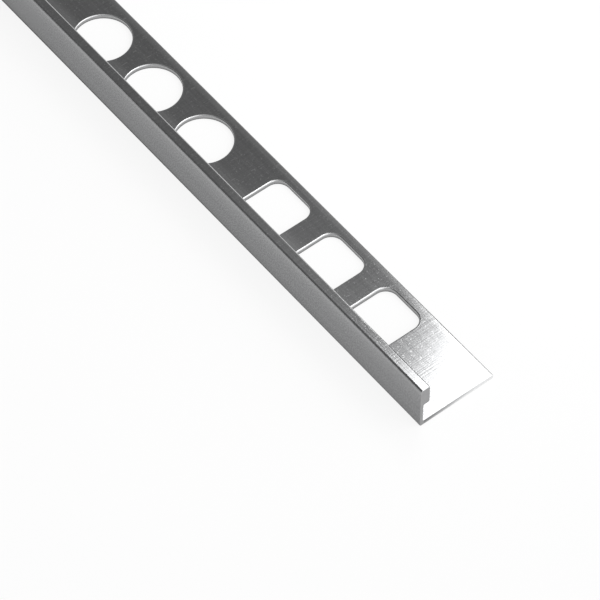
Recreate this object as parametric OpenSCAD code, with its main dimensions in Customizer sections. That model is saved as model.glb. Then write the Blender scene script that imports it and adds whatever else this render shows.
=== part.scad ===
// Straight edge trim for wall and floor tiles, one extruded length lying on its anchoring leg.
// Millimetres. X runs along the length, Y across the leg, Z up. The wall stands on the -Y side.

/* [Section] */
// Length of the stock
trim_length = 1000; // [400:50:3000]
// Overall width across the anchoring leg, from the wall's outer face
trim_width = 20; // [19:0.5:26]
// Overall height of the wall, which is the tile depth
trim_height = 12.5; // [10:0.5:15]
// Thickness of the anchoring leg
leg_thickness = 1.3; // [1:0.1:2]
// Thickness of the wall below its head
wall_thickness = 0.8; // [0.6:0.1:1.2]

/* [Head] */
// Width of the thick head at the top of the wall
head_width = 2.4; // [1.6:0.1:3]
// Height of the head's inner face
head_height = 5.4; // [4:0.1:6.5]
// Rounding of the head's outer top edge
head_outer_radius = 0.5; // [0.2:0.1:0.7]
// Rounding of the head's inner top edge
head_inner_radius = 0.4; // [0.2:0.1:0.6]
// Rounding of the head's lower inner edge
head_lower_radius = 0.4; // [0.2:0.1:0.4]

/* [Corners] */
// Fillet between the wall and the head's underside
neck_fillet = 0.3; // [0.1:0.1:0.4]
// Fillet between the wall and the leg
root_fillet = 0.2; // [0.1:0.1:0.6]
// Rounding of the outer bottom edge and of the leg's free edges
edge_radius = 0.4; // [0.15:0.05:0.45]

/* [Round holes] */
// Diameter of a punched round hole
hole_diameter = 13.5; // [8:0.5:13.5]
// Spacing of the round holes along a group
hole_pitch = 18.75; // [17:0.25:24]
// Distance of the hole line from the wall's outer face
hole_line = 10.9; // [10.2:0.1:11.2]
// Round holes in one group
hole_count = 3; // [1:1:12]

/* [Rounded slots] */
// Size of a punched slot along the trim
slot_length = 12.5; // [8:0.5:14]
// Size of a punched slot across the leg
slot_width = 13.5; // [8:0.5:13.5]
// Corner radius of a slot
slot_radius = 3; // [1.5:0.5:3.5]
// Spacing of the slots along a group
slot_pitch = 18.75; // [17:0.25:24]
// Slots in one group
slot_count = 3; // [1:1:5]

/* [Punching pattern] */
// Distance between the last cut-out of one group and the first of the next, centre to centre
group_gap = 25; // [18:0.5:40]
// Distance from the +X end to the centre of the first slot
end_distance = 26; // [15:0.5:40]
// Least plain metal kept between a cut-out and the -X end
end_margin = 6; // [3:0.5:20]

/* [Hidden] */
$fn = 64;
// How far a cutter reaches past the face it cuts
over = 1;
// How far joined pieces run into each other
lap = 0.2;
slot_run = (slot_count - 1) * slot_pitch;
hole_run = (hole_count - 1) * hole_pitch;
group_length = slot_run + hole_run + 2 * group_gap;
group_total = ceil(trim_length / group_length);
last_edge = trim_length - end_margin;
slot_places = [
    for (g = [0 : group_total - 1])
        for (i = [0 : slot_count - 1])
            let (d = end_distance + g * group_length + i * slot_pitch)
                if (d + slot_length / 2 <= last_edge) trim_length / 2 - d
];
hole_places = [
    for (g = [0 : group_total - 1])
        for (i = [0 : hole_count - 1])
            let (d = end_distance + slot_run + group_gap + g * group_length + i * hole_pitch)
                if (d + hole_diameter / 2 <= last_edge) trim_length / 2 - d
];
hole_y = hole_line - trim_width / 2;

// Waste outside an arc of radius r whose square corner is at the origin, metal on the +x +y side
module corner_waste(r) {
    difference() {
        translate([-over, -over]) square([over + r, over + r]);
        translate([r, r]) circle(r = r);
        translate([r, -2 * over]) square([over + r, 4 * over + r]);
        translate([-2 * over, r]) square([4 * over + r, over + r]);
    }
}

// Metal of a fillet of radius r in a concave corner at the origin, open towards +x +y
module corner_fill(r) {
    difference() {
        translate([-lap, -lap]) square([lap + r, lap + r]);
        translate([r, r]) circle(r = r);
    }
}

module leg_section() {
    difference() {
        square([trim_width, leg_thickness]);
        corner_waste(edge_radius);
        translate([trim_width, 0]) mirror([1, 0]) corner_waste(edge_radius);
        translate([trim_width, leg_thickness]) rotate(180) corner_waste(edge_radius);
    }
}

module wall_section() {
    translate([0, leg_thickness / 2]) square([wall_thickness, trim_height - head_height]);
}

module head_section() {
    difference() {
        translate([0, trim_height - head_height]) square([head_width, head_height]);
        translate([0, trim_height]) mirror([0, 1]) corner_waste(head_outer_radius);
        translate([head_width, trim_height]) rotate(180) corner_waste(head_inner_radius);
        translate([head_width, trim_height - head_height]) mirror([1, 0]) corner_waste(head_lower_radius);
    }
}

module trim_section() {
    union() {
        leg_section();
        wall_section();
        head_section();
        translate([wall_thickness, leg_thickness]) corner_fill(root_fillet);
        translate([wall_thickness, trim_height - head_height]) mirror([0, 1]) corner_fill(neck_fillet);
    }
}

module slot_outline() {
    straight_x = slot_length - 2 * slot_radius;
    straight_y = slot_width - 2 * slot_radius;
    union() {
        square([slot_length, straight_y], center = true);
        square([straight_x, slot_width], center = true);
        for (sx = [-1, 1])
            for (sy = [-1, 1])
                translate([sx * straight_x / 2, sy * straight_y / 2]) circle(r = slot_radius);
    }
}

module tile_trim() {
    color([0.66, 0.67, 0.68])
        difference() {
            translate([-trim_length / 2, -trim_width / 2, 0])
                rotate([90, 0, 90]) linear_extrude(height = trim_length) trim_section();
            for (x = hole_places)
                translate([x, hole_y, -over])
                    cylinder(d = hole_diameter, h = leg_thickness + 2 * over);
            for (x = slot_places)
                translate([x, hole_y, -over])
                    linear_extrude(height = leg_thickness + 2 * over) slot_outline();
        }
}

tile_trim();
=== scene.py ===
import math

import bpy
from mathutils import Matrix, Vector


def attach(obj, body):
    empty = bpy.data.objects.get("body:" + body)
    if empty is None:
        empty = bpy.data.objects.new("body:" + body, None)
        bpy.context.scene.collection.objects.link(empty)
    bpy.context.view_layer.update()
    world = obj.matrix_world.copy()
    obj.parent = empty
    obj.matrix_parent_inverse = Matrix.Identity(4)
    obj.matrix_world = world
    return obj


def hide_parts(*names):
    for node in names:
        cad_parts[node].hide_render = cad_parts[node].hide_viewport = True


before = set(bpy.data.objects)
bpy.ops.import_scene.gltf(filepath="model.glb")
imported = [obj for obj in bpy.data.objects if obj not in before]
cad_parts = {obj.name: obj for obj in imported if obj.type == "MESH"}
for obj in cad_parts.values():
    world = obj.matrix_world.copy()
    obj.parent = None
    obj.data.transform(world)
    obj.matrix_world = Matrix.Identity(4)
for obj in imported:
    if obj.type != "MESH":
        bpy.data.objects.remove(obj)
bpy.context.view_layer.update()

MM = 0.001

# Sizes of the trim in millimetres, as in the solid
LENGTH, WIDTH, HEIGHT = 1000.0, 20.0, 12.5
LEG, WALL = 1.3, 0.8
HEAD_W, HEAD_H = 2.4, 5.4
R_TOP_OUT, R_TOP_IN, R_LOW = 0.5, 0.4, 0.4
R_NECK, R_ROOT, R_EDGE = 0.3, 0.2, 0.4
HOLE_D, HOLE_PITCH, HOLE_LINE, HOLES = 13.5, 18.75, 10.9, 3
SLOT_L, SLOT_W, SLOT_R, SLOT_PITCH, SLOTS = 12.5, 13.5, 3.0, 18.75, 3
GAP, END_DISTANCE, END_MARGIN = 25.0, 26.0, 6.0

# Edges left by the punch and the saw, in millimetres: radius of a cut-out's rolled upper edge, height where
# its burnished land ends, how far its torn part opens out, the bevel below that, and the sawn ends' chamfer
ROLL = 0.35
LAND_Z = 0.42
TEAR = 0.08
BEVEL = 0.05
SAW_BREAK = 0.07

# Segments of each rounding
FOOT_STEPS, TOP_OUT_STEPS, TOP_IN_STEPS, LOW_STEPS = 4, 7, 6, 5
NECK_STEPS, ROOT_STEPS, EDGE_STEPS, ROLL_STEPS = 4, 5, 5, 4

# Points along a quarter of a cut-out and half of that, points along half a straight side of a slot, and the
# longest cell of a plain end in millimetres
QUARTER = 18
HALF = QUARTER // 2
STRAIGHT = 3
PLAIN_STEP = 3.0

# Each part of a normal that leans equally two ways
DIAGONAL = 0.7071

# Material slots of the mesh
SATIN, ROLLED, SAWN, LAND, TORN = range(5)

# Painted light and shade at each vertex: 1 is a painted highlight, 0 is plain, below 0 is painted shade.
# Distances are in millimetres.
# Painted shade on the head's outer rounding: a dark reflection line, darkest halfway round
HEAD_PAINTED_SHADE = -0.25
# Painted highlight along the head's inner edge: in full, at a sawn end, and where it is thin behind that
# end
HEAD_PAINTED_HIGHLIGHT, HEAD_END_HIGHLIGHT, HEAD_THIN_HIGHLIGHT = 1.0, 0.5, 0.0
# Distances from a sawn end where that painted highlight is thin, grows again and is full; how far down it
# fades out
HEAD_CORNER, HEAD_START, HEAD_GROWN = 7.0, 14.0, 21.0
HEAD_FADE = 0.1
# Painted highlight on the wall's outer face, brighter towards its top: depth below the head's rounding
# where it begins, then depths with its strength
WALL_FADE = 5.0
WALL_PAINTED_HIGHLIGHT = ((1.1, 0.07), (0.6, 0.13), (0.15, 0.24))
# Painted shade along the wall's foot where it meets the floor, and heights above the foot's rounding with
# the share of it there
FOOT_PAINTED_SHADE = -0.7
FOOT_FADE = ((0.3, 1.0), (0.6, 0.3), (3.5, 0.08))
# Share of the full painted shade at a sawn end and far from it, and how far that is
FOOT_END, FOOT_FULL, FOOT_GROWN = 0.45, 1.4, 130.0
# Painted highlight on the leg's free edge, and how far it runs over the flats
LEG_PAINTED_HIGHLIGHT, LEG_FADE = 0.26, 1.5
# Painted shade on the leg's sawn end next to the wall and painted highlight at the free edge, and how much
# more painted light its lower edge has
END_PAINTED_SHADE, END_PAINTED_HIGHLIGHT, END_LIFT = -0.65, 1.1, 0.65
# Painted light: a lighter band on the leg's top beside the head: its strength, and where it thins out and
# ends across the leg
BAND_PAINTED_LIGHT = 0.2
BAND_FULL, BAND_EDGE = 8.0, 10.2
# Distances from a sawn end where the band starts and is full
BAND_START, BAND_GROWN = 34.0, 53.0

# Scales of the satin metal's patterns, per metre: along X, Y and Z, or the same along all three
DIE_SCALE = (8.0, 1600.0, 1600.0)
LINE_SCALE = (25.0, 2700.0, 2700.0)
RUB_SCALE = (2700.0, 30.0, 30.0)
BROAD_SCALE = (2.0, 420.0, 420.0)
HIGHLIGHT_BREAKUP_SCALE = (90.0, 300.0, 300.0)
DASH_SCALE = (2600.0, 450.0, 450.0)
PATCH_SCALE, CLOUD_SCALE, GRAIN_SCALE, SPECK_SCALE = 160.0, 28.0, 2900.0, 2600.0

# Range of a pattern that is spread out, and what it is spread to where that isn't 0 to 1
PATCH_SPREAD = (0.35, 0.65, 0.3, 1.0)
HIGHLIGHT_BREAKUP_SPREAD = (0.3, 0.6, 0.75, 1.0)
GRAIN_SPREAD, SPECK_SPREAD, DASH_SPREAD = (0.25, 0.75), (0.7, 0.78), (0.78, 0.84)

# Share of each pattern in the tone; the last three have one on the wall's outer face and one elsewhere
TONE_BROAD, TONE_CLOUD, TONE_LINES = 0.12, 0.13, 0.15
TONE_DIE, TONE_RUBS, TONE_GRAIN = (0.12, 0.25), (0.05, 0.25), (0.43, 0.1)
# Where, in metres of Y, the outer face's share gives way to the other
FACE_SPREAD = (-0.0099, -0.0095)

# Colours of the satin metal: dark and light tone, specks with their share, painted highlights and painted
# shade
SATIN_DARK, SATIN_LIGHT = (0.17, 0.172, 0.175), (0.488, 0.491, 0.495)
MARK_COLOUR, MARK_SHARE = (0.85, 0.853, 0.857), 0.25
PAINTED_HIGHLIGHT_COLOUR, PAINTED_SHADE_COLOUR = (0.95, 0.953, 0.957), (0.11, 0.11, 0.11)

# Roughness of the satin metal, and what its clouds and lines add
SATIN_ROUGH, ROUGH_CLOUD, ROUGH_LINES = 0.135, 0.06, 0.04
# Share of each pattern in its relief, where specks are sunk, and the relief's height in metres
RELIEF_RUBS, RELIEF_LINES, RELIEF_DIE, RELIEF_MARKS = 0.5, 0.45, 0.25, -0.2
SATIN_RELIEF = 1.2e-5

# Cut metal: scale of its clouds per metre, and shares of streaks and clouds in the tone
CUT_CLOUD_SCALE, CUT_STREAKS, CUT_CLOUD = 600.0, 0.7, 0.3
# Its dark and light tone as a share of its base grey, and the colours of its painted highlights and painted
# shade
CUT_DARK, CUT_LIGHT = (0.86, 0.862, 0.87), (1.14, 1.145, 1.15)
CUT_HIGHLIGHT_COLOUR, CUT_SHADE_COLOUR = (0.9, 0.903, 0.907), (0.05, 0.05, 0.05)
# What the streaks add to its roughness
CUT_ROUGH_STREAKS = 0.16

# Tint of the metal's reflection at grazing angles
GRAZING = (0.55, 0.55, 0.55)

# Floor: half its side in metres, the scale of its fibres per metre, and their two greys
FLOOR_REACH, FIBRE_SCALE = 300.0, 9.0
PAPER_DARK, PAPER_LIGHT = (0.935, 0.935, 0.935), (0.95, 0.95, 0.95)
# How much of the floor glows white for the camera and for reflections
GLOW_CAMERA, GLOW_MIRRORED = 0.86, 0.74
WHITE = (1.0, 1.0, 1.0, 1.0)

# Sky: where, in X, it turns bright, and how bright it is there
SKY_EDGE, SKY_BRIGHT = (-0.15, 0.4), 1.79
# Dim patch in the bright side: its direction, its edge, and the share of light left in it
DIM_TOWARDS, DIM_EDGE, DIM_SHARE = (0.36, -0.72, 0.59), (0.76, 0.88), 0.25
# Low glow: its direction and edge, and the sky's strength outside and in it
LOW_TOWARDS, LOW_EDGE = (-0.47, 0.86, 0.2), (0.8, 0.97)
SKY_DARK, SKY_LOW = 0.262, 0.46

# Soft box, in metres: the middle of its edge line, and the directions across and along it
BOX_EDGE = (0.4157, 0.0656, 0.145)
BOX_ACROSS, BOX_ALONG = (0.838, 0.545, 0.0), (-0.545, 0.838, 0.0)
# Its width and length, its radiance, and that of its rim, which is as large on the line's other side
BOX_WIDTH, BOX_LENGTH = 0.06, 0.09
BOX_RADIANCE, RIM_RADIANCE = 4.7, 0.12

# Camera: focal length and picture width in pixels, and sensor width in millimetres
FOCAL, PICTURE, SENSOR = 3683.8, 600.0, 36.0
# Its clipping distances and its place in metres, and the direction it looks from in degrees
CLIP_NEAR, CLIP_FAR = 0.01, 100.0
CAMERA_PLACE = (0.82625, -0.30038, 0.63605)
CAMERA_ELEVATION, CAMERA_AZIMUTH = 53.602, 51.621


def punch_places():
    """Cut-outs along the leg as (x, kind), from -X to +X."""
    slot_run = (SLOTS - 1) * SLOT_PITCH
    group = slot_run + (HOLES - 1) * HOLE_PITCH + 2 * GAP
    out = []
    for g in range(math.ceil(LENGTH / group)):
        for i in range(SLOTS):
            d = END_DISTANCE + g * group + i * SLOT_PITCH
            if d + SLOT_L / 2 <= LENGTH - END_MARGIN:
                out.append((LENGTH / 2 - d, "slot"))
        for i in range(HOLES):
            d = END_DISTANCE + slot_run + GAP + g * group + i * HOLE_PITCH
            if d + HOLE_D / 2 <= LENGTH - END_MARGIN:
                out.append((LENGTH / 2 - d, "hole"))
    return sorted(out)


def plain_cells(x0, x1):
    """Short cells without a cut-out, as in leg_cells."""
    n = math.ceil((x1 - x0) / PLAIN_STEP)
    xs = [x0 + (x1 - x0) * i / n for i in range(n)] + [x1]
    return [(a, b, None, None) for a, b in zip(xs, xs[1:])]


def leg_cells():
    """Cells along X as (start, end, centre, kind): each holds one cut-out or is plain."""
    places = punch_places()
    reach = HOLE_PITCH / 2
    bounds = [places[0][0] - reach]
    for (x0, _), (x1, _) in zip(places, places[1:]):
        bounds.append((x0 + x1) / 2)
    bounds.append(places[-1][0] + reach)
    cells = plain_cells(-LENGTH / 2 + SAW_BREAK, bounds[0])
    for (x, kind), x0, x1 in zip(places, bounds, bounds[1:]):
        cells.append((x0, x1, x, kind))
    return cells + plain_cells(bounds[-1], LENGTH / 2 - SAW_BREAK)


def arc(cx, cz, r, start, stop, n, concave=False):
    """Points of an arc as (a, z, na, nz, painted shading), with outward normals; angles in degrees."""
    s = -1.0 if concave else 1.0
    out = []
    for i in range(n + 1):
        t = math.radians(start + (stop - start) * i / n)
        c, d = math.cos(t), math.sin(t)
        out.append((cx + r * c, cz + r * d, s * c, s * d, 0.0))
    return out


def highlighted(points, wear, before, after):
    """A convex arc, run clockwise, with a painted highlight that fades out before and after it, or within
    it.
    """
    highlit = [(a, z, na, nz, wear) for a, z, na, nz, _ in points]
    (a0, z0, n0, m0, _), (a1, z1, n1, m1, _) = highlit[0], highlit[-1]
    first = (a0 - m0 * before, z0 + n0 * before, n0, m0, 0.0)
    last = (a1 + m1 * after, z1 - n1 * after, n1, m1, 0.0)
    return [first] + (highlit if before else highlit[1:]) + [last]


def wall_profile():
    """Wall and head, from the leg's underside round to the leg's top."""
    shoulder = HEIGHT - R_TOP_OUT
    neck = HEIGHT - HEAD_H
    foot = arc(R_EDGE, R_EDGE, R_EDGE, 270, 180, FOOT_STEPS)
    outer = arc(R_TOP_OUT, shoulder, R_TOP_OUT, 180, 90, TOP_OUT_STEPS)
    inner = arc(HEAD_W - R_TOP_IN, HEIGHT - R_TOP_IN, R_TOP_IN, 90, 0, TOP_IN_STEPS)
    return (
        [(WALL + R_ROOT, 0.0, 0.0, -1.0, 0.0)]
        # painted shade along the foot, where the wall meets the floor
        + [(a, z, na, nz, FOOT_PAINTED_SHADE) for a, z, na, nz, _ in foot]
        + [(0.0, R_EDGE + h, -1.0, 0.0, FOOT_PAINTED_SHADE * share) for h, share in FOOT_FADE]
        # painted highlight on the wall's outer face, growing brighter towards its top
        + [(0.0, shoulder - WALL_FADE, -1.0, 0.0, 0.0)]
        + [(0.0, shoulder - d, -1.0, 0.0, wear) for d, wear in WALL_PAINTED_HIGHLIGHT]
        # painted shade: a dark reflection line on the head's outer rounding
        + [(a, z, na, nz, HEAD_PAINTED_SHADE * 2 * abs(na * nz)) for a, z, na, nz, _ in outer]
        # painted highlight along the head's inner edge
        + highlighted(inner, HEAD_PAINTED_HIGHLIGHT, 0.0, HEAD_FADE)
        + arc(HEAD_W - R_LOW, neck + R_LOW, R_LOW, 0, -90, LOW_STEPS)
        + arc(WALL + R_NECK, neck - R_NECK, R_NECK, 90, 180, NECK_STEPS, True)
        + arc(WALL + R_ROOT, LEG + R_ROOT, R_ROOT, 180, 270, ROOT_STEPS, True)
    )


def edge_profile():
    """Free edge of the leg, from its top round to its underside."""
    a = WIDTH - R_EDGE
    side = (LEG - 2 * R_EDGE) / 2
    # painted highlight on the free edge's roundings
    upper = highlighted(arc(a, LEG - R_EDGE, R_EDGE, 90, 0, EDGE_STEPS), LEG_PAINTED_HIGHLIGHT, LEG_FADE, side)
    lower = highlighted(arc(a, R_EDGE, R_EDGE, 0, -90, EDGE_STEPS), LEG_PAINTED_HIGHLIGHT, side, LEG_FADE)
    return upper + lower[1:]


def from_end(x):
    """Distance to the nearer sawn end."""
    return LENGTH / 2 - abs(x)


def ramp(value, start, stop):
    """0 at start and before it, 1 at stop and beyond it."""
    return min(max((value - start) / (stop - start), 0.0), 1.0)


def band_wear(x, a):
    """Painted light of the band on the leg's top at one point."""
    return BAND_PAINTED_LIGHT * ramp(a, BAND_EDGE, BAND_FULL) * ramp(from_end(x), BAND_START, BAND_GROWN)


def head_wear(x):
    """Painted highlight of the head's inner edge at one place along the trim."""
    d = from_end(x)
    if d < HEAD_CORNER:
        return HEAD_END_HIGHLIGHT + (HEAD_THIN_HIGHLIGHT - HEAD_END_HIGHLIGHT) * d / HEAD_CORNER
    return HEAD_THIN_HIGHLIGHT + (HEAD_PAINTED_HIGHLIGHT - HEAD_THIN_HIGHLIGHT) * ramp(d, HEAD_START, HEAD_GROWN)


def wall_wear(x, wear):
    """Painted light and shade of the wall's profile at one place along the trim: the head's inner edge
    highlight and the foot's shade vary.
    """
    if wear == HEAD_PAINTED_HIGHLIGHT:
        return head_wear(x)
    # painted shade at the foot, lighter near a sawn end
    if wear == FOOT_PAINTED_SHADE:
        return FOOT_PAINTED_SHADE * (FOOT_END + (FOOT_FULL - FOOT_END) * ramp(from_end(x), 0.0, FOOT_GROWN))
    return wear


def end_wear(a, z, nz):
    """Painted shade and light of the leg's sawn end at one point of its outline, with the outline's normal
    in Z.
    """
    along = (a - WALL) / (WIDTH - WALL)
    if z > LEG or along <= 0:
        return 0.0
    wear = END_PAINTED_SHADE + (END_PAINTED_HIGHLIGHT - END_PAINTED_SHADE) * along
    return wear + END_LIFT if nz < 0 else wear


def rim(kind, offset):
    """Outline of a cut-out, grown by offset: (dx, da, nx, na), normals towards its centre."""
    out = []
    for q in range(4):
        turn = q * math.pi / 2
        pts = []
        if kind == "hole":
            r = HOLE_D / 2 + offset
            for i in range(QUARTER):
                t = i / QUARTER * math.pi / 2
                pts.append((r * math.cos(t), r * math.sin(t), -math.cos(t), -math.sin(t)))
        else:
            hx, ha = SLOT_L / 2, SLOT_W / 2
            if q % 2:
                hx, ha = ha, hx
            r = SLOT_R + offset
            cx, ca = hx - SLOT_R, ha - SLOT_R
            for i in range(QUARTER):
                if i < STRAIGHT:
                    pts.append((hx + offset, ca * i / STRAIGHT, -1.0, 0.0))
                elif i <= QUARTER - STRAIGHT:
                    t = (i - STRAIGHT) / (QUARTER - 2 * STRAIGHT) * math.pi / 2
                    c, s = math.cos(t), math.sin(t)
                    pts.append((cx + r * c, ca + r * s, -c, -s))
                else:
                    pts.append((cx * (QUARTER - i) / STRAIGHT, ha + offset, 0.0, -1.0))
        c, s = round(math.cos(turn)), round(math.sin(turn))
        for x, a, nx, na in pts:
            out.append((c * x - s * a, s * x + c * a, c * nx - s * na, s * nx + c * na))
    return out


def rim_steps():
    """Section of a cut-out's rim from the leg's top to its underside, as (start, end, material slot).

    start and end are (offset, z, radial, vertical): the outline's growth, the height and the normal.
    """

    def rolled(t):
        return ROLL * (1 - math.sin(t)), LEG - ROLL * (1 - math.cos(t)), math.sin(t), math.cos(t)

    turns = [math.pi / 2 * i / ROLL_STEPS for i in range(ROLL_STEPS + 1)]
    steps = [(rolled(t0), rolled(t1), ROLLED) for t0, t1 in zip(turns, turns[1:])]
    steps.append(((0.0, LEG - ROLL, 1.0, 0.0), (0.0, LAND_Z, 1.0, 0.0), LAND))
    lean = math.atan2(TEAR, LAND_Z - BEVEL)
    torn = (math.cos(lean), -math.sin(lean))
    steps.append(((0.0, LAND_Z, *torn), (TEAR, BEVEL, *torn), TORN))
    bevel = (DIAGONAL, -DIAGONAL)
    steps.append(((TEAR, BEVEL, *bevel), (TEAR + BEVEL, 0.0, *bevel), TORN))
    return steps


class Builder:
    """Collects a mesh with its own normal at every face corner."""

    def __init__(self):
        self.verts, self.wear, self.faces, self.normals, self.mats = [], [], [], [], []

    def vert(self, x, a, z, wear=0.0):
        self.verts.append(Vector((x, a - WIDTH / 2, z)))
        self.wear.append(wear)
        return len(self.verts) - 1

    def face(self, ids, normals, mat=SATIN):
        """ids and normals follow each other round the face, which is turned to agree with them."""
        ids, normals = list(ids), list(normals)
        total = Vector((0, 0, 0))
        base = self.verts[ids[0]]
        for i in range(1, len(ids) - 1):
            total += (self.verts[ids[i]] - base).cross(self.verts[ids[i + 1]] - base)
        mean = Vector((0, 0, 0))
        for n in normals:
            mean += Vector(n)
        if total.dot(mean) < 0:
            ids.reverse()
            normals.reverse()
        self.faces.append(ids)
        self.normals.append(normals)
        self.mats.append(mat)

    def mesh(self, name):
        me = bpy.data.meshes.new(name)
        me.from_pydata([v * MM for v in self.verts], [], self.faces)
        for p, m in zip(me.polygons, self.mats):
            p.material_index = m
            p.use_smooth = True
        me.normals_split_custom_set([n for face in self.normals for n in face])
        me.attributes.new("wear", "FLOAT", "POINT").data.foreach_set("value", self.wear)
        me.update()
        return me


def trim_mesh():
    """The whole trim: swept profiles, the leg's flats with their cut-outs, and the sawn ends."""
    b = Builder()
    up, down = (0.0, 0.0, 1.0), (0.0, 0.0, -1.0)
    wall, edge = wall_profile(), edge_profile()
    steps = rim_steps()
    a_low, a_high = WALL + R_ROOT, WIDTH - R_EDGE - LEG_FADE
    levels = [a_low + (HOLE_LINE - a_low) * i / HALF for i in range(HALF)]
    levels += [HOLE_LINE + (a_high - HOLE_LINE) * i / HALF for i in range(HALF + 1)]

    def station(x, full):
        """Vertices at one place along the trim; a full one has the leg's top and underside too."""
        s = {
            "wall": [b.vert(x, p[0], p[1], wall_wear(x, p[4])) for p in wall],
            "edge": [b.vert(x, p[0], p[1], p[4]) for p in edge],
        }
        if full:
            # the leg's top carries the band of painted light beside the head
            top = [b.vert(x, a, LEG, band_wear(x, a)) for a in levels[1:-1]]
            low = [b.vert(x, a, 0.0) for a in levels[1:-1]]
            s["top"] = [s["wall"][-1]] + top + [s["edge"][0]]
            s["low"] = [s["wall"][0]] + low + [s["edge"][-1]]
        return s

    def sweep(s0, s1):
        """Wall, head and free edge between two stations."""
        for key, prof in (("wall", wall), ("edge", edge)):
            for j in range(len(prof) - 1):
                n0 = (0.0, prof[j][2], prof[j][3])
                n1 = (0.0, prof[j + 1][2], prof[j + 1][3])
                b.face(
                    (s0[key][j], s1[key][j], s1[key][j + 1], s0[key][j + 1]),
                    (n0, n0, n1, n1),
                )

    def punched(xc, kind, side0, mids, side1):
        """Leg between two full stations with one cut-out; mids are the stations between them."""
        run = [side0] + mids + [side1]

        def loop(key, w, e):
            # anticlockwise from the middle of the +X side, as the rim runs
            out = [side1[key][HALF + i] for i in range(HALF)]
            out += [s["edge"][e] for s in reversed(run)][:QUARTER]
            out += [side0[key][QUARTER - i] for i in range(QUARTER)]
            out += [s["wall"][w] for s in run][:QUARTER]
            out += [side1[key][i] for i in range(HALF)]
            return out

        def ring(offset, z):
            points = [(xc + p[0], HOLE_LINE + p[1]) for p in rim(kind, offset)]
            return [b.vert(x, a, z, band_wear(x, a) if z == LEG else 0.0) for x, a in points]

        normals = [(p[2], p[3]) for p in rim(kind, 0.0)]
        count = len(normals)
        (offset, z, _, _), _, _ = steps[0]
        ids = ring(offset, z)
        outer = loop("top", -1, 0)
        for k in range(count):
            m = (k + 1) % count
            b.face((outer[k], outer[m], ids[m], ids[k]), (up,) * 4)
        for (_, _, r0, v0), (offset, z, r1, v1), mat in steps:
            nxt = ring(offset, z)
            for k in range(count):
                m = (k + 1) % count
                (ax, aa), (bx, ba) = normals[k], normals[m]
                b.face(
                    (ids[k], ids[m], nxt[m], nxt[k]),
                    (
                        (ax * r0, aa * r0, v0), (bx * r0, ba * r0, v0),
                        (bx * r1, ba * r1, v1), (ax * r1, aa * r1, v1),
                    ),
                    mat,
                )
            ids = nxt
        outer = loop("low", 0, -1)
        for k in range(count):
            m = (k + 1) % count
            b.face((outer[k], outer[m], ids[m], ids[k]), (down,) * 4)

    def sawn(s, sign):
        """Sawn end at a full station: its edges are broken by a narrow chamfer."""
        loop = list(s["wall"]) + s["top"][1:-1] + s["edge"] + s["low"][-2:0:-1]
        norm = [(p[2], p[3]) for p in wall] + [(0.0, 1.0)] * (QUARTER - 1)
        norm += [(p[2], p[3]) for p in edge] + [(0.0, -1.0)] * (QUARTER - 1)
        cap = []
        for i, (na, nz) in zip(loop, norm):
            v = b.verts[i]
            a = v.y + WIDTH / 2
            # painted shade next to the wall and painted highlight towards the free edge and the lower edge
            wear = end_wear(a, v.z, nz)
            cap.append(b.vert(sign * LENGTH / 2, a - na * SAW_BREAK, v.z - nz * SAW_BREAK, wear))
        for k in range(len(loop)):
            m = (k + 1) % len(loop)
            n0 = (sign * DIAGONAL, norm[k][0] * DIAGONAL, norm[k][1] * DIAGONAL)
            n1 = (sign * DIAGONAL, norm[m][0] * DIAGONAL, norm[m][1] * DIAGONAL)
            b.face((loop[k], loop[m], cap[m], cap[k]), (n0, n1, n1, n0), SAWN)
        b.face(cap, ((sign, 0.0, 0.0),) * len(cap), SAWN)

    cells = leg_cells()
    begin = side = station(cells[0][0], True)
    for x0, x1, xc, kind in cells:
        nxt = station(x1, True)
        if kind is None:
            sweep(side, nxt)
            for key, n in (("top", up), ("low", down)):
                for j in range(QUARTER):
                    b.face((side[key][j], nxt[key][j], nxt[key][j + 1], side[key][j + 1]), (n,) * 4)
        else:
            xs = [x0 + (xc - x0) * i / HALF for i in range(1, HALF)]
            xs += [xc + (x1 - xc) * i / HALF for i in range(HALF)]
            mids = [station(x, False) for x in xs]
            run = [side] + mids + [nxt]
            for s0, s1 in zip(run, run[1:]):
                sweep(s0, s1)
            punched(xc, kind, side, mids, nxt)
        side = nxt
    sawn(begin, -1.0)
    sawn(side, 1.0)
    return b.mesh("tile_trim_metal")


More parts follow.
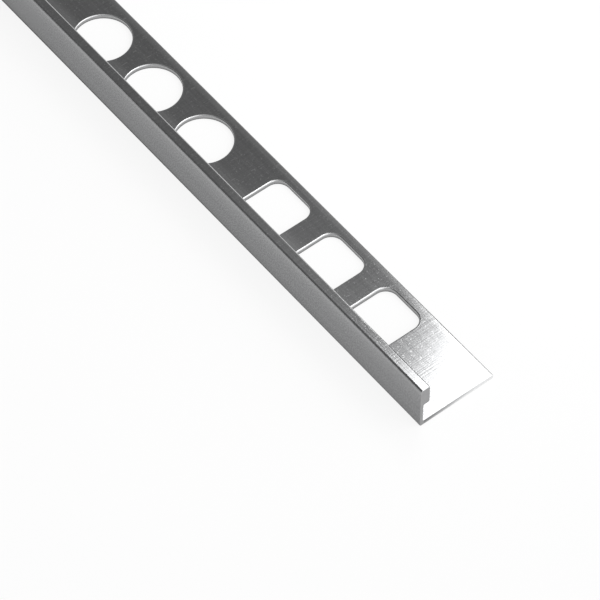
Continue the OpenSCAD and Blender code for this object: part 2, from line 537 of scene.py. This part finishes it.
class Graph:
    """Short way to write a node tree."""

    def __init__(self, tree):
        self.tree = tree
        tree.nodes.clear()

    def node(self, kind, **settings):
        n = self.tree.nodes.new(kind)
        for k, v in settings.items():
            setattr(n, k, v)
        return n

    def link(self, a, b):
        self.tree.links.new(a, b)

    def math(self, op, a, b=None, c=None, clamp=False):
        n = self.node("ShaderNodeMath", operation=op, use_clamp=clamp)
        for i, v in enumerate((a, b, c)):
            if v is None:
                continue
            if isinstance(v, (int, float)):
                n.inputs[i].default_value = v
            else:
                self.link(v, n.inputs[i])
        return n.outputs[0]

    def axis(self, vector, name):
        n = self.node("ShaderNodeSeparateXYZ")
        self.link(vector, n.inputs[0])
        return n.outputs[name]

    def facing(self, vector, towards):
        n = self.node("ShaderNodeVectorMath", operation="DOT_PRODUCT")
        n.inputs[1].default_value = towards
        self.link(vector, n.inputs[0])
        return n.outputs["Value"]

    def noise(self, vector, scale, detail, rough=0.5):
        n = self.node("ShaderNodeTexNoise")
        n.inputs["Scale"].default_value = scale
        n.inputs["Detail"].default_value = detail
        n.inputs["Roughness"].default_value = rough
        self.link(vector, n.inputs["Vector"])
        return n.outputs["Fac"]

    def stretched(self, vector, scale, detail, rough=0.5):
        """Noise with a scale of its own along each axis."""
        n = self.node("ShaderNodeMapping")
        n.inputs["Scale"].default_value = scale
        self.link(vector, n.inputs["Vector"])
        return self.noise(n.outputs[0], 1.0, detail, rough)

    def spread(self, value, low, high, to_low=0.0, to_high=1.0):
        n = self.node("ShaderNodeMapRange", interpolation_type="SMOOTHSTEP")
        n.inputs["From Min"].default_value = low
        n.inputs["From Max"].default_value = high
        n.inputs["To Min"].default_value = to_low
        n.inputs["To Max"].default_value = to_high
        self.link(value, n.inputs["Value"])
        return n.outputs["Result"]

    def blend(self, factor, colour, other):
        n = self.node("ShaderNodeMix", data_type="RGBA")
        self.link(factor, n.inputs["Factor"])
        self.link(colour, n.inputs[6])
        n.inputs[7].default_value = (*other, 1.0)
        return n.outputs[2]

    def shade(self, value, dark, light):
        n = self.node("ShaderNodeValToRGB")
        n.color_ramp.elements[0].color = (*dark, 1.0)
        n.color_ramp.elements[1].color = (*light, 1.0)
        self.link(value, n.inputs["Fac"])
        return n.outputs["Color"]


def metal_surface(g, colour, rough, height, relief):
    """Makes metal of a colour, a roughness and a height pattern with its relief in metres."""
    bump = g.node("ShaderNodeBump")
    bump.inputs["Strength"].default_value = 1.0
    bump.inputs["Distance"].default_value = relief
    g.link(height, bump.inputs["Height"])
    bsdf = g.node("ShaderNodeBsdfPrincipled")
    bsdf.inputs["Metallic"].default_value = 1.0
    bsdf.inputs["Specular Tint"].default_value = (*GRAZING, 1.0)
    g.link(colour, bsdf.inputs["Base Color"])
    g.link(rough, bsdf.inputs["Roughness"])
    g.link(bump.outputs["Normal"], bsdf.inputs["Normal"])
    g.link(bsdf.outputs["BSDF"], g.node("ShaderNodeOutputMaterial").inputs["Surface"])


def satin_metal():
    """Mill-finished aluminium: die lines, faint cross rubs, specks, a sandy outer face of the wall, and
    painted highlights and painted shade from the mesh.
    """
    mat = bpy.data.materials.new("satin_aluminium")
    mat.use_nodes = True
    g = Graph(mat.node_tree)
    place = g.node("ShaderNodeTexCoord").outputs["Object"]
    die = g.stretched(place, DIE_SCALE, detail=1.0)
    lines = g.stretched(place, LINE_SCALE, detail=0.0)
    rubs = g.stretched(place, RUB_SCALE, detail=0.0)
    patchy = g.spread(g.noise(place, PATCH_SCALE, detail=1.0), *PATCH_SPREAD)
    broad = g.stretched(place, BROAD_SCALE, detail=2.0)
    cloud = g.noise(place, CLOUD_SCALE, detail=3.0, rough=0.55)
    highlight_breakup = g.spread(g.stretched(place, HIGHLIGHT_BREAKUP_SCALE, detail=2.0), *HIGHLIGHT_BREAKUP_SPREAD)
    grain = g.spread(g.noise(place, GRAIN_SCALE, detail=1.0), *GRAIN_SPREAD)
    specks = g.spread(g.noise(place, SPECK_SCALE, detail=0.0), *SPECK_SPREAD)
    dashes = g.spread(g.stretched(place, DASH_SCALE, detail=0.0), *DASH_SPREAD)
    elsewhere = g.spread(g.axis(place, "Y"), *FACE_SPREAD)
    marks = g.math("MULTIPLY", g.math("MAXIMUM", specks, dashes), elsewhere)

    def share(on_wall, off_wall):
        """A share that differs between the wall's outer face and the rest."""
        return g.math("MULTIPLY_ADD", elsewhere, off_wall - on_wall, on_wall)

    tone = g.math("MULTIPLY", die, share(*TONE_DIE))
    tone = g.math("MULTIPLY_ADD", broad, TONE_BROAD, tone)
    tone = g.math("MULTIPLY_ADD", cloud, TONE_CLOUD, tone)
    tone = g.math("MULTIPLY_ADD", lines, TONE_LINES, tone)
    tone = g.math("MULTIPLY_ADD", rubs, share(*TONE_RUBS), tone)
    tone = g.math("MULTIPLY_ADD", grain, share(*TONE_GRAIN), tone)
    colour = g.shade(tone, SATIN_DARK, SATIN_LIGHT)
    colour = g.blend(g.math("MULTIPLY", marks, MARK_SHARE), colour, MARK_COLOUR)
    # painted highlights from the vertex values, broken up by noise, then painted shade where the values are
    # below 0
    painted = g.node("ShaderNodeAttribute", attribute_name="wear").outputs["Fac"]
    colour = g.blend(g.math("MULTIPLY", painted, highlight_breakup), colour, PAINTED_HIGHLIGHT_COLOUR)
    colour = g.blend(g.math("MULTIPLY", painted, -1.0, clamp=True), colour, PAINTED_SHADE_COLOUR)

    rough = g.math("MULTIPLY_ADD", cloud, ROUGH_CLOUD, SATIN_ROUGH)
    rough = g.math("MULTIPLY_ADD", lines, ROUGH_LINES, rough)

    height = g.math("MULTIPLY", g.math("MULTIPLY", rubs, patchy), RELIEF_RUBS)
    height = g.math("MULTIPLY_ADD", lines, RELIEF_LINES, height)
    height = g.math("MULTIPLY_ADD", die, RELIEF_DIE, height)
    height = g.math("MULTIPLY_ADD", marks, RELIEF_MARKS, height)
    metal_surface(g, colour, rough, height, SATIN_RELIEF)
    return mat


def cut_metal(name, stretch, base, rough, relief):
    """Freshly cut aluminium with the tool's streaks, and painted highlights and painted shade from the
    mesh; stretch is the streaks' scale, base the metal's grey.
    """
    mat = bpy.data.materials.new(name)
    mat.use_nodes = True
    g = Graph(mat.node_tree)
    place = g.node("ShaderNodeTexCoord").outputs["Object"]
    streaks = g.stretched(place, stretch, detail=3.0, rough=0.6)
    cloud = g.noise(place, CUT_CLOUD_SCALE, detail=2.0)
    tone = g.math("MULTIPLY_ADD", cloud, CUT_CLOUD, g.math("MULTIPLY", streaks, CUT_STREAKS))
    dark = tuple(base * k for k in CUT_DARK)
    light = tuple(base * k for k in CUT_LIGHT)
    # painted highlights from the vertex values, then painted shade where the values are below 0
    painted = g.node("ShaderNodeAttribute", attribute_name="wear").outputs["Fac"]
    colour = g.blend(painted, g.shade(tone, dark, light), CUT_HIGHLIGHT_COLOUR)
    colour = g.blend(g.math("MULTIPLY", painted, -1.0, clamp=True), colour, CUT_SHADE_COLOUR)
    metal_surface(g, colour, g.math("MULTIPLY_ADD", streaks, CUT_ROUGH_STREAKS, rough), streaks, relief)
    return mat


def floor_paper():
    """White paper that partly glows for the camera and for reflections, and keeps a faint shadow."""
    mat = bpy.data.materials.new("white_paper")
    mat.use_nodes = True
    g = Graph(mat.node_tree)
    place = g.node("ShaderNodeTexCoord").outputs["Object"]
    fibre = g.noise(place, FIBRE_SCALE, detail=3.0)
    paper = g.node("ShaderNodeBsdfDiffuse")
    g.link(g.shade(fibre, PAPER_DARK, PAPER_LIGHT), paper.inputs["Color"])
    glow = g.node("ShaderNodeEmission")
    glow.inputs["Color"].default_value = WHITE
    ray = g.node("ShaderNodeLightPath").outputs
    seen = g.math("MULTIPLY", ray["Is Camera Ray"], GLOW_CAMERA)
    mirrored = g.math("MAXIMUM", ray["Is Glossy Ray"], ray["Is Transmission Ray"])
    mix = g.node("ShaderNodeMixShader")
    g.link(g.math("MAXIMUM", seen, g.math("MULTIPLY", mirrored, GLOW_MIRRORED)), mix.inputs[0])
    g.link(paper.outputs["BSDF"], mix.inputs[1])
    g.link(glow.outputs["Emission"], mix.inputs[2])
    g.link(mix.outputs["Shader"], g.node("ShaderNodeOutputMaterial").inputs["Surface"])
    return mat


def panel(name, edge, side, depth, radiance):
    """A level area light that starts at an edge line and reaches out along side."""
    light = bpy.data.lights.new(name, "AREA")
    light.shape = "RECTANGLE"
    light.size, light.size_y = BOX_WIDTH, BOX_LENGTH
    light.energy = radiance * math.pi * light.size * light.size_y
    ob = bpy.data.objects.new(name, light)
    bpy.context.scene.collection.objects.link(ob)
    m = Matrix((side, depth, side.cross(depth))).transposed().to_4x4()
    m.translation = edge + side * (BOX_WIDTH / 2)
    ob.matrix_world = m
    ob.visible_camera = False


def studio():
    """White floor, sky, and a soft box over the near end with a faint rim.

    The sky is bright on the +X side, with a dim patch towards -Y, and has a low glow towards -X and +Y.
    """
    me = bpy.data.meshes.new("floor")
    r = FLOOR_REACH
    me.from_pydata([(-r, -r, 0), (r, -r, 0), (r, r, 0), (-r, r, 0)], [], [(0, 1, 2, 3)])
    floor = bpy.data.objects.new("floor", me)
    bpy.context.scene.collection.objects.link(floor)
    me.materials.append(floor_paper())

    world = bpy.data.worlds.new("studio")
    bpy.context.scene.world = world
    world.use_nodes = True
    g = Graph(world.node_tree)
    ray = g.node("ShaderNodeTexCoord").outputs["Generated"]
    bright = g.spread(g.axis(ray, "X"), *SKY_EDGE)
    bright = g.math("MULTIPLY", bright, g.spread(g.facing(ray, DIM_TOWARDS), *DIM_EDGE, 1.0, DIM_SHARE))
    low = g.spread(g.facing(ray, LOW_TOWARDS), *LOW_EDGE, SKY_DARK, SKY_LOW)
    back = g.node("ShaderNodeBackground")
    back.inputs["Color"].default_value = WHITE
    g.link(g.math("MULTIPLY_ADD", bright, SKY_BRIGHT, low), back.inputs["Strength"])
    g.link(back.outputs[0], g.node("ShaderNodeOutputWorld").inputs["Surface"])

    edge = Vector(BOX_EDGE)
    side, depth = Vector(BOX_ACROSS).normalized(), Vector(BOX_ALONG).normalized()
    panel("soft_box", edge, side, depth, BOX_RADIANCE)
    panel("soft_box_rim", edge, -side, -depth, RIM_RADIANCE)


def camera():
    """The photo's view, from above the near end."""
    cam = bpy.data.cameras.new("camera")
    cam.sensor_fit = "HORIZONTAL"
    cam.sensor_width = SENSOR
    cam.lens = FOCAL / PICTURE * SENSOR
    cam.clip_start, cam.clip_end = CLIP_NEAR, CLIP_FAR
    ob = bpy.data.objects.new("camera", cam)
    bpy.context.scene.collection.objects.link(ob)
    e, a = math.radians(CAMERA_ELEVATION), math.radians(CAMERA_AZIMUTH)
    back = Vector((math.sin(a) * math.cos(e), -math.cos(a) * math.cos(e), math.sin(e)))
    ob.location = CAMERA_PLACE
    ob.rotation_mode = "QUATERNION"
    ob.rotation_quaternion = (-back).to_track_quat("-Z", "Y")
    bpy.context.scene.camera = ob


def main():
    mesh = trim_mesh()
    for mat in (
        satin_metal(),
        cut_metal("punched_roll", stretch=(900.0, 900.0, 900.0), base=0.45, rough=0.14, relief=1.0e-6),
        cut_metal("sawn_end", stretch=(300.0, 240.0, 2400.0), base=0.4, rough=0.26, relief=5.0e-6),
        cut_metal("punched_land", stretch=(1700.0, 1700.0, 160.0), base=0.36, rough=0.34, relief=4.0e-6),
        cut_metal("torn_edge", stretch=(2600.0, 2600.0, 900.0), base=0.2, rough=0.45, relief=1.2e-5),
    ):
        mesh.materials.append(mat)
    trim = bpy.data.objects.new("tile_trim_metal", mesh)
    bpy.context.scene.collection.objects.link(trim)
    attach(trim, "root")
    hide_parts("tile_trim")
    camera()
    studio()
    bpy.context.scene.view_settings.view_transform = "Standard"


main()
